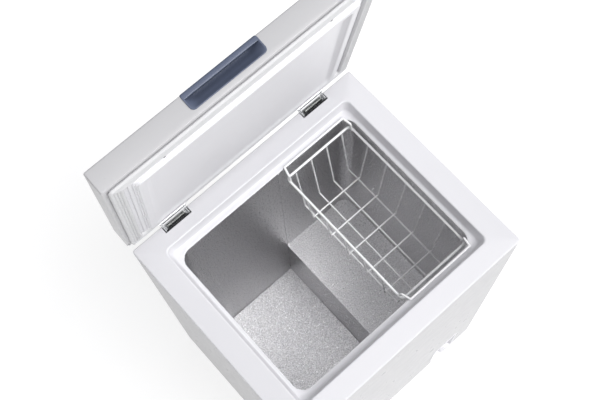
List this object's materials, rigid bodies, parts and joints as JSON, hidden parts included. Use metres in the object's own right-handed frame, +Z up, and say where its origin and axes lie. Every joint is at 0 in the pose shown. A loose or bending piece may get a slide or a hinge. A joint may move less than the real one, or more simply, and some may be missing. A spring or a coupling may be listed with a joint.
{
  "type": "chest freezer",
  "caption": "Small white chest freezer with a lift-up lid standing open, a stepped metal tub, a hanging wire basket and a slate grey lid handle.",
  "frame": {"origin": "on the floor, at the middle of the ground covered by the freezer with its lid open", "axes": "+X to the right seen from the front, +Y to the back (the hinge side), +Z up"},
  "size_m": [0.546, 0.5231, 1.278],
  "materials": {
    "painted_steel": "smooth white stove paint",
    "galvanised": "bare zinc-coated sheet",
    "white_plastic": "semi-gloss moulded white",
    "liner_white": "vacuum-formed white sheet",
    "seal_vinyl": "soft white vinyl",
    "tub_metal": "stucco-embossed bare sheet",
    "foam": "rigid insulating foam",
    "copper": "drawn copper tube",
    "dark_steel": "semi-gloss black paint",
    "steel": "zinc plated",
    "spring_steel": "plated spring wire",
    "black_rubber": "matt moulded",
    "dark_plastic": "fine texture",
    "slate_plastic": "fine texture, slate blue-grey",
    "lamp_green": "clear tinted",
    "lamp_amber": "clear tinted",
    "lamp_red": "clear tinted",
    "white_wire": "plastic-dipped wire"
  },
  "bodies": {
    "cabinet": {"cabinet_shell": "painted_steel", "rear_panel": "painted_steel", "base_plate": "galvanised", "compressor_bay_panel": "galvanised", "cabinet_foam": "foam", "tub_walls": "tub_metal", "tub_base": "tub_metal", "rim_collar": "white_plastic", "evaporator_coil": "copper", "condenser_coil": "dark_steel", "compressor": "dark_steel", "compressor_bracket": "dark_steel", "compressor_grommets": "black_rubber", "compressor_bolts": "steel", "relay_box": "dark_plastic", "filter_drier": "copper", "discharge_tube": "copper", "suction_tube": "copper", "capillary_tube": "copper", "thermostat": "galvanised", "sensor_bulb": "steel", "control_panel": "white_plastic", "power_lamp": "lamp_green", "run_lamp": "lamp_amber", "alarm_lamp": "lamp_red", "side_grille": "white_plastic", "rear_cover": "galvanised", "rear_cover_screws": "steel", "cord_gland": "dark_plastic", "wiring_harness": "dark_plastic", "drain_tube": "white_plastic", "feet": "dark_plastic", "feet_screws": "steel", "hinge_base_left": "steel", "hinge_base_right": "steel", "hinge_pin_left": "steel", "hinge_pin_right": "steel", "hinge_spring_left": "spring_steel", "hinge_spring_right": "spring_steel", "spring_guides": "dark_plastic", "hinge_base_screws": "steel"},
    "lid": {"lid_skin": "painted_steel", "lid_foam": "foam", "lid_liner": "liner_white", "lid_gasket": "seal_vinyl", "lid_handle": "slate_plastic", "lid_liner_screws": "steel", "lid_corner_plugs": "steel", "hinge_arm_left": "steel", "hinge_arm_right": "steel", "hinge_arm_screws": "steel"},
    "knob": {"thermostat_knob": "white_plastic", "thermostat_shaft": "steel"},
    "basket": {"basket_frame": "white_wire", "basket_long_wires": "white_wire", "basket_cross_wires": "white_wire"},
    "plug": {"drain_plug": "slate_plastic"},
    "cap": {"drain_cap": "white_plastic"}
  },
  "joints": [
    {"name": "lid_hinge", "type": "hinge", "parent": "cabinet", "child": "lid", "pos_m": [0, 0.2155, 0.805], "axis": [1, 0, 0], "range_deg": [-5, 80.3]},
    {"name": "knob_turn", "type": "hinge", "parent": "cabinet", "child": "knob", "pos_m": [0.169, -0.246, 0.1], "axis": [0, -1, 0], "range_deg": [-135, 135]},
    {"name": "basket_lift", "type": "slide", "parent": "cabinet", "child": "basket", "axis": [0, 0, 1], "range_m": [0, 0.27]},
    {"name": "plug_pull", "type": "slide", "parent": "cabinet", "child": "plug", "axis": [0, 0, 1], "range_m": [0, 0.03]},
    {"name": "cap_pull", "type": "slide", "parent": "cabinet", "child": "cap", "axis": [0, -1, 0], "range_m": [0, 0.025]}
  ]
}
